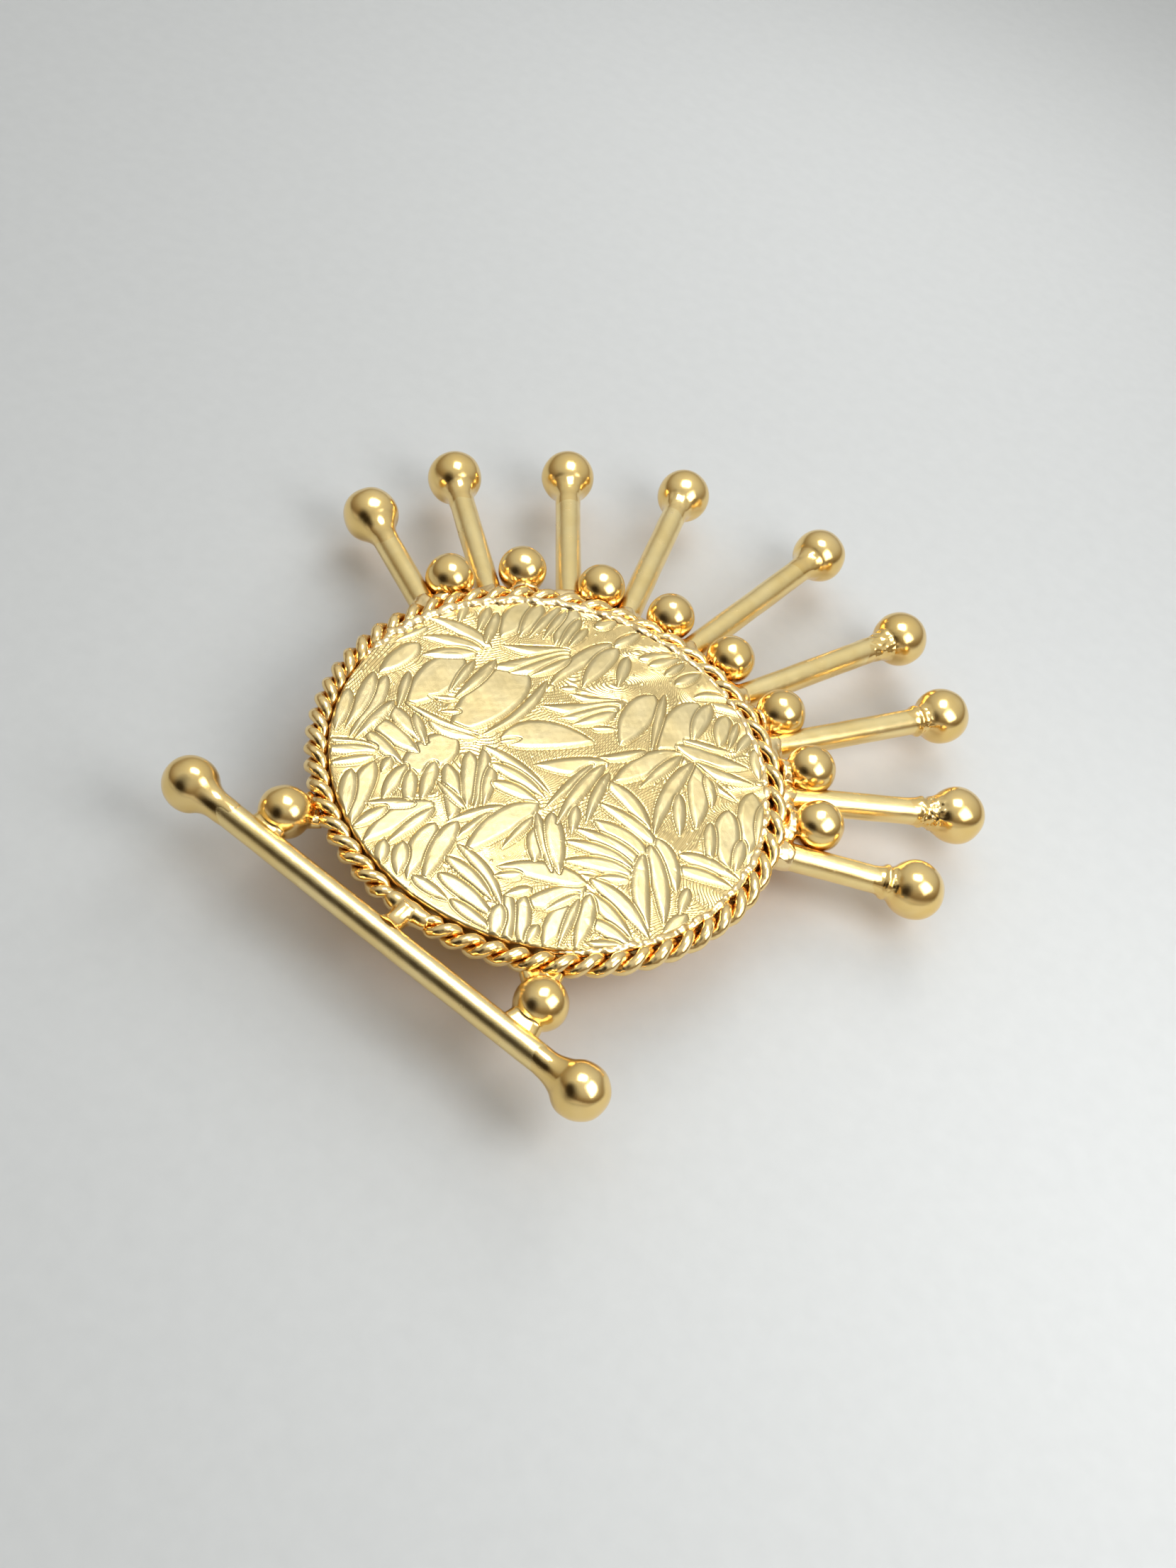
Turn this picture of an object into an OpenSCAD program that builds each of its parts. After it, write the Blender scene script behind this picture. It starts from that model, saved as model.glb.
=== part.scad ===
// Sunburst brooch: a leaf-patterned disc in a twisted-wire rim, with ball-tipped rays along the top,
// a ball-ended bar below, and a hinged pin with a safety catch on the back. Millimetres.
// The origin is the middle of the pin's straight part. +X runs along the pin from hinge to catch,
// +Y points to the rays and +Z out of the patterned face.

/* [Disc] */
// Diameter of the back plate
back_plate_d = 35.4; // [35:0.1:35.6]
// Thickness of the back plate
back_plate_t = 1.0; // [0.8:0.1:1.4]
// Height of the patterned face above the back plate
face_plate_t = 1.6; // [1.2:0.1:1.8]

/* [Rope rim] */
// Diameter of the circle that the rope's centre follows
rope_ring_d = 36; // [35.6:0.1:36.4]
// Diameter of each of the rope's two strands
strand_d = 0.86; // [0.7:0.02:0.9]
// Turns that a strand would make in a full circle
rope_turns = 29; // [16:1:32]

/* [Rays] */
// Diameter of the ray wires
ray_wire_d = 2.2; // [1.8:0.1:2.4]
// Diameter of the balls on the rays
ray_ball_d = 4.75; // [4:0.05:5.2]
// Depth of a ray's axis below the rope's centre, under the rope
ray_root_drop = 1.3; // [1.1:0.1:1.6]
// Depth of a ray's axis below the rope's centre, at its ball
ray_tip_drop = 2.1; // [1.3:0.1:3]
// Diameter of the beads between the rays
bead_d = 4.1; // [3.6:0.05:4.2]

/* [Bar] */
// Diameter of the bar
bar_d = 2.1; // [1.8:0.1:2.3]
// Distance of the bar's axis from the disc's centre
bar_drop = 20.8; // [20.7:0.1:21.2]
// Diameter of the balls on the bar's ends
bar_ball_d = 4.25; // [3.8:0.05:4.6]
// Diameter of the two beads between the bar and the rope
bar_bead_d = 3.9; // [3.6:0.05:4]

/* [Pin and catch] */
// Diameter of the pin's straight part
pin_d = 0.9; // [0.8:0.05:1]
// Length of the pin's straight part
pin_straight = 20; // [18:0.5:20]
// Distance of the pin above the disc's centre, towards the rays
pin_above_centre = 3; // [2:0.5:5]
// Distance of the pin's axis behind the back plate
pin_behind = 2.7; // [2.6:0.1:3.2]
// Distance of the hinge from the middle of the pin
hinge_x = 13.5; // [13:0.1:14]
// Radial running clearance of the pin's knuckle on its rivet
rivet_play = 0.05; // [0.02:0.01:0.1]
// Radial running clearance of the locking barrel in the catch
barrel_play = 0.07; // [0.03:0.01:0.1]

/* [Hidden] */
$fn = 64;

// Colours of the matt gold plate
gold = [0.83, 0.68, 0.38];
bright_gold = [0.93, 0.80, 0.50];
deep_gold = [0.66, 0.50, 0.24];

// Radii that the modules share
back_plate_r = back_plate_d / 2;
rope_ring_r = rope_ring_d / 2;
strand_r = strand_d / 2;
strand_offset = 0.45;
rope_r = 2 * strand_offset;
ray_wire_r = ray_wire_d / 2;
ray_ball_r = ray_ball_d / 2;
bead_r = bead_d / 2;
bar_r = bar_d / 2;
bar_ball_r = bar_ball_d / 2;
bar_bead_r = bar_bead_d / 2;
pin_r = pin_d / 2;

// Heights above the rope's centre
seat_z = -rope_r;
disc_back_z = seat_z - back_plate_t;

// Rays, counted clockwise from the left: angle at the disc, angle of the ball, ball's distance from
// the disc's centre, then the neck of solder that each ball has, as its length and its wide radius
ray_root_angle = [160, 142.5, 122, 107.5, 90, 72, 55.5, 40, 23];
ray_tip_angle = [157, 141.5, 124.5, 108, 88, 71.5, 58, 41, 26];
ray_reach = [31.3, 34.6, 36, 38.1, 39.7, 38.4, 36.8, 34.3, 30.2];
neck_len = [2.2, 1.8, 2.2, 1.8, 2, 3, 1.6, 2.4, 1.4];
neck_r = [1.75, 1.6, 1.7, 1.65, 1.6, 1.45, 1.6, 1.7, 1.6];
ball_bore_depth = 1.2;
ray_root_reach = 18.2;
ray_tuck = 1;
neck_step = 0.12;

// Beads between the rays: angle, distance from the disc's centre, and height of their centres
bead_angle = [151.5, 134, 115.5, 98, 80.5, 62.5, 46.5, 31.5];
bead_reach = [21, 21.5, 21, 21, 21, 21.3, 21.6, 21.6];
bead_z = -0.3;

// Solder between the rope and the beads
solder_from = 20;
solder_to = 163;
solder_ring_r = 19.2;
solder_r = 0.75;
solder_z = -1.05;

// Rope joint, at the bar's middle
joint_from = -90.5;
joint_to = -84.5;
joint_gap = 1.4;
joint_bridge_x = 0.8;

// Bar
bar_left_x = -17.5;
bar_right_x = 18.6;
bar_neck_len = 2.2;
bar_neck_r = 1.6;
bar_bead_left_at = [-11.1, -17.8];
bar_bead_right_at = [12.5, -17.3];

// Pin, hinge and catch
plate_back = pin_behind;
knuckle_r = 1.05;
knuckle_w = 1.4;
ear_gap = 0.1;
ear_t = 0.7;
ear_r = 1.3;
rivet_r = 0.45;
bracket_base_t = 0.6;
catch_from = 11.6;
catch_to = 14.8;
catch_outer_r = 1.9;
catch_inner_r = 1.4;
catch_slot = 1.5;
barrel_bore_r = 0.7;
barrel_slot = 1.4;
collar_r = 1.8;
collar_t = 0.5;
collar_gap = 0.1;
lever_reach = 2.4;
lever_w = 1.1;
pin_tip_x = 17;
pin_tip_r = 0.06;
pin_taper_x = 14.9;
pin_taper_r = 0.36;

// Puts a piece of the disc, modelled about the rope's centre, in its place above the pin
module on_disc() {
    translate([0, -pin_above_centre, pin_behind - disc_back_z]) children();
}

// Puts a piece modelled about Z at point a, with its Z axis towards point b
module aim(a, b) {
    v = b - a;
    translate(a) rotate([0, acos(v.z / norm(v)), atan2(v.y, v.x)]) children();
}

// A round rod from point a to point b, of radius r1 at a and r2 at b
module rod(a, b, r1, r2) {
    aim(a, b) cylinder(h = norm(b - a), r1 = r1, r2 = r2);
}

// A ball at point a with a neck of solder towards point b: the neck ends at reach from the ball's
// centre, with radius wide_r in the ball and narrow_r at its end
module necked_ball(a, b, ball_r, reach, wide_r, narrow_r) {
    inside = 0.6 * ball_r;
    aim(a, b) {
        sphere(r = ball_r);
        translate([0, 0, inside]) cylinder(h = reach - inside, r1 = wide_r, r2 = narrow_r);
    }
}

// A round rod along X at the pin's height, from x0 to x1
module x_rod(x0, x1, r1, r2) {
    translate([x0, 0, 0]) rotate([0, 90, 0]) cylinder(h = x1 - x0, r1 = r1, r2 = r2);
}

// A round rod along Y, centred on the hinge
module hinge_rod(w, r) {
    translate([-hinge_x, 0, 0]) rotate([90, 0, 0]) cylinder(h = w, r = r, center = true);
}

// The space that the finished rope fills
module rope_space() {
    rotate_extrude() translate([rope_ring_r, 0]) circle(r = rope_r);
}

// The space inside the back plate's rim
module plate_space() {
    translate([0, 0, -20]) cylinder(h = 40, r = back_plate_r, $fn = 128);
}

// Point at an angle, a distance from the disc's centre and a height
function around(angle, reach, z) = [reach * cos(angle), reach * sin(angle), z];

function ray_root(i) = around(ray_root_angle[i], ray_root_reach, -ray_root_drop);
function ray_tip(i) = around(ray_tip_angle[i], ray_reach[i], -ray_tip_drop);
function ray_dir(i) = (ray_tip(i) - ray_root(i)) / norm(ray_tip(i) - ray_root(i));
function ray_start(i) = ray_root(i) - ray_tuck * ray_dir(i);
function ray_end(i) = ray_tip(i) - ball_bore_depth * ray_dir(i);

// The space that a ray's wire fills, from inside the back plate's rim to its ball
module ray_space(i) {
    rod(ray_start(i), ray_end(i), ray_wire_r, ray_wire_r);
}

module face_plate() {
    face_r = rope_ring_r - rope_r;
    edge = 0.2;
    color(bright_gold) on_disc() translate([0, 0, seat_z]) {
        cylinder(h = face_plate_t - edge, r = face_r, $fn = 128);
        translate([0, 0, face_plate_t - edge])
            cylinder(h = edge, r1 = face_r, r2 = face_r - edge, $fn = 128);
    }
}

module back_plate() {
    color(gold) on_disc() translate([0, 0, disc_back_z])
        cylinder(h = back_plate_t, r = back_plate_r, $fn = 128);
}

// Centre of a strand at an angle round the ring, with its phase in the rope
function strand_at(angle, phase) =
    let (twist = rope_turns * angle + phase,
         reach = rope_ring_r + strand_offset * cos(twist))
    around(angle, reach, strand_offset * sin(twist));

// One ring of a strand's tube, square to the strand
function strand_ring(angle, phase, sides) =
    let (step = 0.05,
         run = strand_at(angle + step, phase) - strand_at(angle - step, phase),
         along = run / norm(run),
         twist = rope_turns * angle + phase,
         out = around(angle, cos(twist), sin(twist)),
         side = cross(along, out),
         across = side / norm(side))
    [for (k = [0 : sides - 1])
        strand_at(angle, phase)
            + strand_r * (cos(360 * k / sides) * out + sin(360 * k / sides) * across)];

module rope_strand(phase) {
    sides = 6;
    start = joint_to + joint_gap;
    finish = 360 + joint_from - joint_gap;
    rings = ceil(12 * rope_turns * (finish - start) / 360);
    points = [for (i = [0 : rings]) each strand_ring(start + (finish - start) * i / rings, phase, sides)];
    walls = [
        for (i = [0 : rings - 1]) for (k = [0 : sides - 1])
            let (a = i * sides + k, b = i * sides + (k + 1) % sides)
                [a, a + sides, b + sides, b]
    ];
    caps = [
        [for (k = [0 : sides - 1]) k],
        [for (k = [0 : sides - 1]) (rings + 1) * sides - 1 - k]
    ];
    color(gold) on_disc() polyhedron(points, concat(walls, caps), convexity = 10);
}

// Smooth lump of solder where the rope's ends meet, with a short bridge to the bar
module rope_joint() {
    color(bright_gold) on_disc() difference() {
        union() {
            rotate([0, 0, joint_from]) rotate_extrude(angle = joint_to - joint_from)
                translate([rope_ring_r, 0]) circle(r = rope_r);
            rod([joint_bridge_x, -rope_ring_r, 0], [joint_bridge_x, -bar_drop, 0], 0.6, 1);
        }
        rod([-20, -bar_drop, 0], [20, -bar_drop, 0], bar_r, bar_r);
        translate([0, 0, disc_back_z - 1]) cylinder(h = rope_r + 1.9, r = rope_ring_r - rope_r);
    }
}

module ray_wire(i) {
    color(gold) on_disc() difference() {
        ray_space(i);
        plate_space();
        rope_space();
    }
}

module ray_ball(i) {
    color(bright_gold) on_disc() difference() {
        necked_ball(ray_tip(i), ray_root(i), ray_ball_r,
            0.72 * ray_ball_r + neck_len[i], neck_r[i], ray_wire_r + neck_step);
        ray_space(i);
    }
}

module rim_bead(i) {
    color(bright_gold) on_disc() difference() {
        translate(around(bead_angle[i], bead_reach[i], bead_z))
            rotate([0, 0, bead_angle[i]]) sphere(r = bead_r);
        for (k = [i, i + 1]) ray_space(k);
        rope_space();
        plate_space();
    }
}

module rim_solder() {
    color(gold) on_disc() difference() {
        rotate([0, 0, solder_from]) rotate_extrude(angle = solder_to - solder_from)
            translate([solder_ring_r, solder_z]) circle(r = solder_r);
        plate_space();
        rope_space();
        for (k = [0 : 8]) ray_space(k);
        for (k = [0 : 7]) translate(around(bead_angle[k], bead_reach[k], bead_z)) sphere(r = bead_r);
    }
}

module bar_rod() {
    color(gold) on_disc()
        rod([bar_left_x + ball_bore_depth, -bar_drop, 0], [bar_right_x - ball_bore_depth, -bar_drop, 0],
            bar_r, bar_r);
}

// A ball on an end of the bar, with its neck towards the bar's middle
module bar_ball(x) {
    color(bright_gold) on_disc() difference() {
        necked_ball([x, -bar_drop, 0], [0, -bar_drop, 0], bar_ball_r,
            0.7 * bar_ball_r + bar_neck_len, bar_neck_r, bar_r + neck_step);
        rod([bar_left_x + ball_bore_depth, -bar_drop, 0], [bar_right_x - ball_bore_depth, -bar_drop, 0],
            bar_r, bar_r);
    }
}

// A bead between the bar and the rope, with webs of solder that reach both
module bar_bead(at) {
    rope_side = at * ((rope_ring_r + rope_r) / norm(at));
    bar_side = [at.x, 0.5 - bar_drop];
    color(bright_gold) on_disc() difference() {
        union() {
            translate([at.x, at.y, 0]) sphere(r = bar_bead_r);
            rod([at.x, at.y, 0], [rope_side.x, rope_side.y, 0], 1.1, 1.8);
            rod([at.x, at.y, 0], [bar_side.x, bar_side.y, 0], 1.2, 0.9);
        }
        rod([-20, -bar_drop, 0], [20, -bar_drop, 0], bar_r, bar_r);
    }
}

module hinge_bracket() {
    outer_w = knuckle_w + 2 * (ear_gap + ear_t);
    color(deep_gold) difference() {
        union() {
            translate([-hinge_x - 2.5, -2.2, plate_back - bracket_base_t]) cube([5, 4.4, bracket_base_t]);
            hinge_rod(outer_w, ear_r);
            translate([-hinge_x - ear_r, -outer_w / 2, 0])
                cube([2 * ear_r, outer_w, plate_back - bracket_base_t]);
        }
        translate([-hinge_x - 2, -knuckle_w / 2 - ear_gap, -2])
            cube([4, knuckle_w + 2 * ear_gap, 2 + plate_back - bracket_base_t]);
        hinge_rod(outer_w + 1, rivet_r);
    }
}

module hinge_rivet() {
    head_t = 0.4;
    ears_w = knuckle_w + 2 * (ear_gap + ear_t);
    color(gold) {
        hinge_rod(ears_w, rivet_r);
        for (side = [-1, 1])
            translate([0, side * (ears_w + head_t) / 2, 0]) hinge_rod(head_t, 0.8);
    }
}

module pin_stem() {
    half = pin_straight / 2;
    color(bright_gold) difference() {
        union() {
            hinge_rod(knuckle_w, knuckle_r);
            x_rod(-hinge_x, -half, 0.65, 0.65);
            x_rod(-half, half, pin_r, pin_r);
            x_rod(half, pin_taper_x, pin_r, pin_taper_r);
            x_rod(pin_taper_x, pin_tip_x, pin_taper_r, pin_tip_r);
        }
        hinge_rod(knuckle_w + 1, rivet_r + rivet_play);
    }
}

module catch_housing() {
    length = catch_to - catch_from;
    color(deep_gold) difference() {
        union() {
            translate([catch_from, -2.2, plate_back - bracket_base_t]) cube([length, 4.4, bracket_base_t]);
            translate([catch_from, -catch_outer_r, 0])
                cube([length, 2 * catch_outer_r, plate_back - bracket_base_t]);
            x_rod(catch_from, catch_to, catch_outer_r, catch_outer_r);
        }
        x_rod(catch_from - 1, catch_to + 1, catch_inner_r, catch_inner_r);
        translate([catch_from - 1, -catch_slot / 2, -3]) cube([length + 2, catch_slot, 3]);
    }
}

module locking_barrel() {
    from = catch_from - collar_gap - collar_t;
    to = catch_to + collar_gap + collar_t;
    color(bright_gold) difference() {
        union() {
            x_rod(from, to, catch_inner_r - barrel_play, catch_inner_r - barrel_play);
            x_rod(from, from + collar_t, collar_r, collar_r);
            x_rod(to - collar_t, to, collar_r, collar_r);
            translate([to - collar_t, 0, -lever_w / 2]) cube([collar_t, lever_reach, lever_w]);
        }
        x_rod(from - 1, to + 1, barrel_bore_r, barrel_bore_r);
        translate([from - 1, -barrel_slot / 2, -3]) cube([to - from + 2, barrel_slot, 3]);
    }
}

face_plate();
back_plate();
rope_strand(0);  // rope_strand_a
rope_strand(180);  // rope_strand_b
rope_joint();
for (i = [0 : 8]) {
    ray_wire(i);
    ray_ball(i);
}
for (i = [0 : 7]) {
    rim_bead(i);
}
rim_solder();
bar_rod();
bar_ball(bar_left_x);  // bar_ball_left
bar_ball(bar_right_x);  // bar_ball_right
bar_bead(bar_bead_left_at);  // bar_bead_left
bar_bead(bar_bead_right_at);  // bar_bead_right
hinge_bracket();
hinge_rivet();
pin_stem();
catch_housing();
locking_barrel();
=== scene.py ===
import math

import bpy
import numpy as np
from mathutils import Matrix, Vector


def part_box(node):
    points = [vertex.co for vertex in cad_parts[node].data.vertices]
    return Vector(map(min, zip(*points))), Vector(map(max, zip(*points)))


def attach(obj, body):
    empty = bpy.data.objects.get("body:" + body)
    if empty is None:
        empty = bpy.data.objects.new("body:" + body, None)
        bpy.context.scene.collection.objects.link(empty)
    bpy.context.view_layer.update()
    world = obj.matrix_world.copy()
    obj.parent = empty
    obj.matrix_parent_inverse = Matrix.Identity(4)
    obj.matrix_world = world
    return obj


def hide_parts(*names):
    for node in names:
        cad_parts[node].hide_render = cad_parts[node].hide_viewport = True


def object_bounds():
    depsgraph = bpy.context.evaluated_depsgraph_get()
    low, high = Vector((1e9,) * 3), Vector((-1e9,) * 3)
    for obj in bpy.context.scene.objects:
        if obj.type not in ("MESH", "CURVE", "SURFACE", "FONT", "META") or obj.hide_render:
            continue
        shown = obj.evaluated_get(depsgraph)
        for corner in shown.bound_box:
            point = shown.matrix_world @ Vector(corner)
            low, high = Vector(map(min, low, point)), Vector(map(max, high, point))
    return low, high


# The looks of a gold sunburst brooch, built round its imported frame.
# Shapes are worked out in millimetres and turned to metres when a mesh is made.
# Disc coordinates start at the rope's centre; row coordinates are the frame's own.

MM = 0.001
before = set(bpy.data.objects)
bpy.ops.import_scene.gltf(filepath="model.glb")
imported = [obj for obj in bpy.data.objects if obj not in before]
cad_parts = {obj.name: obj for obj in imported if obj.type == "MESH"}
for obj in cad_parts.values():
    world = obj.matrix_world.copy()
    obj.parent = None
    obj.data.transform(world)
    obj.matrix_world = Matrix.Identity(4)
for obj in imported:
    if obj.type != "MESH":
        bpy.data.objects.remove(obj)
CAD_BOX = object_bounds()


def box_mm(node):
    """Lowest and highest corner of a CAD node, in millimetres."""
    low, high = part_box(node)
    return np.array(low) / MM, np.array(high) / MM


# Sizes that the frame gives
PLATE_LOW, PLATE_HIGH = box_mm("face_plate")
BACK_LOW, BACK_HIGH = box_mm("back_plate")
ROPE_LOW, ROPE_HIGH = box_mm("rope_strand_a")
BAR_LOW, BAR_HIGH = box_mm("bar_rod")
DISC = np.array([
    (PLATE_LOW[0] + PLATE_HIGH[0]) / 2,
    (PLATE_LOW[1] + PLATE_HIGH[1]) / 2,
    (ROPE_LOW[2] + ROPE_HIGH[2]) / 2,
])
PLATE_R = (PLATE_HIGH[0] - PLATE_LOW[0]) / 2
PLATE_TOP = PLATE_HIGH[2] - DISC[2]
PLATE_BOTTOM = PLATE_LOW[2] - DISC[2]
BACK_R = (BACK_HIGH[0] - BACK_LOW[0]) / 2
BACK_BOTTOM = BACK_LOW[2] - DISC[2]
BAR_Y = (BAR_LOW[1] + BAR_HIGH[1]) / 2 - DISC[1]
BAR_R = (BAR_HIGH[1] - BAR_LOW[1]) / 2
FLOOR_Z = CAD_BOX[0][2] / MM

# Rope
ROPE_RING_R = 18.0
ROPE_R = 0.9
STRAND_R = 0.47
STRAND_OFFSET = 0.45
ROPE_TURNS = 29
JOINT_FROM = -90.5
JOINT_TO = -84.5
JOINT_BRIDGE_X = 0.8

# Rays and beads
RAY_WIRE_R = 1.1
RAY_BALL_R = 2.375
RAY_ROOT_DROP = 1.3
RAY_ROOT_REACH = 18.2
RAY_ROOT_ANGLES = (160, 142.5, 122, 107.5, 90, 72, 55.5, 40, 23)
RAY_NECK_LENGTHS = (2.2, 1.8, 2.2, 1.8, 2.0, 3.0, 1.6, 2.4, 1.4)
RAY_NECK_ROUGHNESS = (0.005, 0.005, 0.005, 0.012, 0.01, 0.03, 0.02, 0.05, 0.02)
RAY_COLLARS = {7: 0.20, 8: 0.10, 9: 0.26}
RAY_TUCK = 1.0
RAY_NECK_RADII = (1.75, 1.6, 1.7, 1.65, 1.6, 1.45, 1.6, 1.7, 1.6)
BEAD_R = 2.05
BEAD_COUNT = 8
BAR_BALL_R = 2.125
BAR_BEAD_R = 1.95
BAR_BEAD_Y = {"left": -17.8, "right": -17.3}


# ---------------------------------------------------------------- shapes

def ripple(points, wavelength, seed, waves=10):
    """A smooth random value, mostly from -1 to 1, at each point."""
    rng = np.random.default_rng(seed)
    ways = rng.normal(size=(waves, 3))
    ways /= np.linalg.norm(ways, axis=1)[:, None]
    ways *= (2 * math.pi / wavelength) * rng.uniform(0.7, 1.4, waves)[:, None]
    phases = rng.uniform(0, 2 * math.pi, waves)
    total = np.zeros(len(points))
    for way, phase in zip(ways, phases):
        total += np.sin(points @ way + phase)
    return total / math.sqrt(waves)


def grid_quads(rows, sides, closed=True):
    """Quads between rings of points: each ring has that many sides."""
    row = np.arange(rows - 1)[:, None]
    side = np.arange(sides if closed else sides - 1)[None, :]
    after = (side + 1) % sides
    a = row * sides + side
    b = row * sides + after
    return np.stack([a, b, b + sides, a + sides], axis=-1).reshape(-1, 4)


def normals(points, quads):
    """Unit normals at the points of a mesh of quads."""
    across = points[quads[:, 2]] - points[quads[:, 0]]
    along = points[quads[:, 3]] - points[quads[:, 1]]
    face = np.cross(across, along)
    total = np.zeros_like(points)
    for corner in range(4):
        np.add.at(total, quads[:, corner], face)
    size = np.linalg.norm(total, axis=1)[:, None]
    return total / np.maximum(size, 1e-12)


def uneven(points, quads, amount, wavelength, seed):
    """The points moved in or out a little, as in hand-finished metal."""
    return points + normals(points, quads) * (amount * ripple(points, wavelength, seed))[:, None]


def lathe(profile, sides=64):
    """Points and quads of a closed shape turned about Z, from (z, radius) pairs with no zero radius.
    Its ends are closed by shrinking rings."""
    profile = [(profile[0][0], 0.001)] + list(profile) + [(profile[-1][0], 0.001)]
    turn = np.arange(sides) * 2 * math.pi / sides
    rings = [
        np.stack([r * np.cos(turn), r * np.sin(turn), np.full(sides, z)], axis=-1)
        for z, r in profile
    ]
    return np.concatenate(rings), grid_quads(len(profile), sides)


def aimed(points, start, end):
    """Points modelled about Z, moved to start with Z towards end."""
    along = np.asarray(end, float) - np.asarray(start, float)
    turn = Vector(along).to_track_quat("Z", "Y").to_matrix()
    return points @ np.array(turn).T + np.asarray(start, float)


def sweep(centres, radii, sides=20, up=(0, 0, 1)):
    """Points and quads of a tube through the centres, with a radius at each, closed at its ends."""
    centres = np.asarray(centres, float)
    ahead = np.gradient(centres, axis=0)
    ahead /= np.linalg.norm(ahead, axis=1)[:, None]
    side = np.cross(np.asarray(up, float), ahead)
    side /= np.linalg.norm(side, axis=1)[:, None]
    over = np.cross(ahead, side)
    turn = np.arange(sides) * 2 * math.pi / sides
    ring = side[:, None, :] * np.cos(turn)[None, :, None] + over[:, None, :] * np.sin(turn)[None, :, None]
    tube = centres[:, None, :] + ring * np.asarray(radii)[:, None, None]
    first = centres[0] + ring[0] * 0.001
    last = centres[-1] + ring[-1] * 0.001
    points = np.concatenate([first, tube.reshape(-1, 3), last])
    return points, grid_quads(len(centres) + 2, sides)


def around(angle, reach, z):
    """Disc coordinates of a point at an angle in degrees."""
    a = np.radians(angle)
    return np.stack(np.broadcast_arrays(reach * np.cos(a), reach * np.sin(a), z), axis=-1)


def ball(radius, steps=40, sides=64):
    """A ball about the origin."""
    lift = np.linspace(-math.pi / 2 + 0.02, math.pi / 2 - 0.02, steps)
    return lathe([(radius * math.sin(a), radius * math.cos(a)) for a in lift], sides)


def necked_profile(ball_r, reach, wide_r, narrow_r, collar=0.0, steps=36):
    """A ball's profile whose +Z side runs out through a flared neck and thins away past its reach."""
    meet = math.asin(wide_r / ball_r)
    lift = np.linspace(-math.pi / 2 + 0.02, math.pi / 2 - meet, steps)
    profile = [(ball_r * math.sin(a), ball_r * math.cos(a)) for a in lift]
    start_z, start_r = profile[-1]
    for t in np.linspace(0.03, 1, 26):
        z = start_z + (reach - start_z) * t
        swell = collar * math.exp(-((reach - 0.35 - z) / 0.28) ** 2)
        profile.append((z, narrow_r + (start_r - narrow_r) * (1 - t) ** 2.4 + swell))
    for t in (0.25, 0.5, 0.75, 1.0):
        profile.append((reach + 1.1 * t, narrow_r - 0.07 * t))
    return profile


# ---------------------------------------------------------------- materials

def link(tree, a, a_socket, b, b_socket):
    tree.links.new(a.outputs[a_socket], b.inputs[b_socket])


def ramp(tree, stops):
    """A colour ramp with (position, (r, g, b)) stops."""
    node = tree.nodes.new("ShaderNodeValToRGB")
    elements = node.color_ramp.elements
    while len(elements) < len(stops):
        elements.new(0.5)
    for element, (position, colour) in zip(elements, stops):
        element.position = position
        element.color = (*colour, 1)
    return node


def noise(tree, coordinates, size_mm, detail, distortion=0.0):
    """Noise whose features are about size_mm across."""
    node = tree.nodes.new("ShaderNodeTexNoise")
    node.inputs["Scale"].default_value = 1 / (size_mm * MM)
    node.inputs["Detail"].default_value = detail
    node.inputs["Distortion"].default_value = distortion
    link(tree, coordinates, "Object", node, "Vector")
    return node


def span(tree, source, socket, low, high, from_low=0.3, from_high=0.7):
    """The source's value stretched to a range."""
    node = tree.nodes.new("ShaderNodeMapRange")
    node.inputs["From Min"].default_value = from_low
    node.inputs["From Max"].default_value = from_high
    node.inputs["To Min"].default_value = low
    node.inputs["To Max"].default_value = high
    link(tree, source, socket, node, "Value")
    return node


def gold(name, pale, deep, groove, roughness, grain_mm, grain_depth, groove_mm=None):
    """A plated gold finish: cloudy colour, tarnish and painted shade in its grooves, uneven gloss and a fine
    grain.
    Without a groove size, a mark stored on the mesh says where its grooves are."""
    material = bpy.data.materials.new(name)
    material.use_nodes = True
    tree = material.node_tree
    shader = tree.nodes["Principled BSDF"]
    shader.inputs["Metallic"].default_value = 1.0
    coordinates = tree.nodes.new("ShaderNodeTexCoord")

    cloud = noise(tree, coordinates, 3.0, 4, 0.4)
    colour = ramp(tree, [(0.3, deep), (0.68, pale)])
    link(tree, cloud, "Fac", colour, "Fac")

    if groove_mm is None:
        shade = tree.nodes.new("ShaderNodeAttribute")
        shade.attribute_name = "clear_of_tarnish_and_shade"
        open_part = span(tree, shade, "Fac", 0.0, 1.0, 0.0, 1.0)
    else:
        shade = tree.nodes.new("ShaderNodeAmbientOcclusion")
        shade.inputs["Distance"].default_value = groove_mm * MM
        shade.samples = 6
        open_part = span(tree, shade, "AO", 0.0, 1.0, 0.25, 0.8)
    # The groove colour is tarnish and painted shade: it darkens the gold where the surface is hemmed in or
    # lies low.
    tint = tree.nodes.new("ShaderNodeMix")
    tint.data_type = "RGBA"
    tint.inputs["A"].default_value = (*groove, 1)
    link(tree, open_part, "Result", tint, "Factor")
    tree.links.new(colour.outputs["Color"], tint.inputs["B"])
    tree.links.new(tint.outputs["Result"], shader.inputs["Base Color"])

    patch = noise(tree, coordinates, 0.9, 5)
    gloss = span(tree, patch, "Fac", roughness * 0.9, roughness * 1.15)
    link(tree, gloss, "Result", shader, "Roughness")

    grain = noise(tree, coordinates, grain_mm, 3)
    bump = tree.nodes.new("ShaderNodeBump")
    bump.inputs["Strength"].default_value = 1.0
    bump.inputs["Distance"].default_value = grain_depth * MM
    link(tree, grain, "Fac", bump, "Height")
    link(tree, bump, "Normal", shader, "Normal")
    return material


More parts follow.
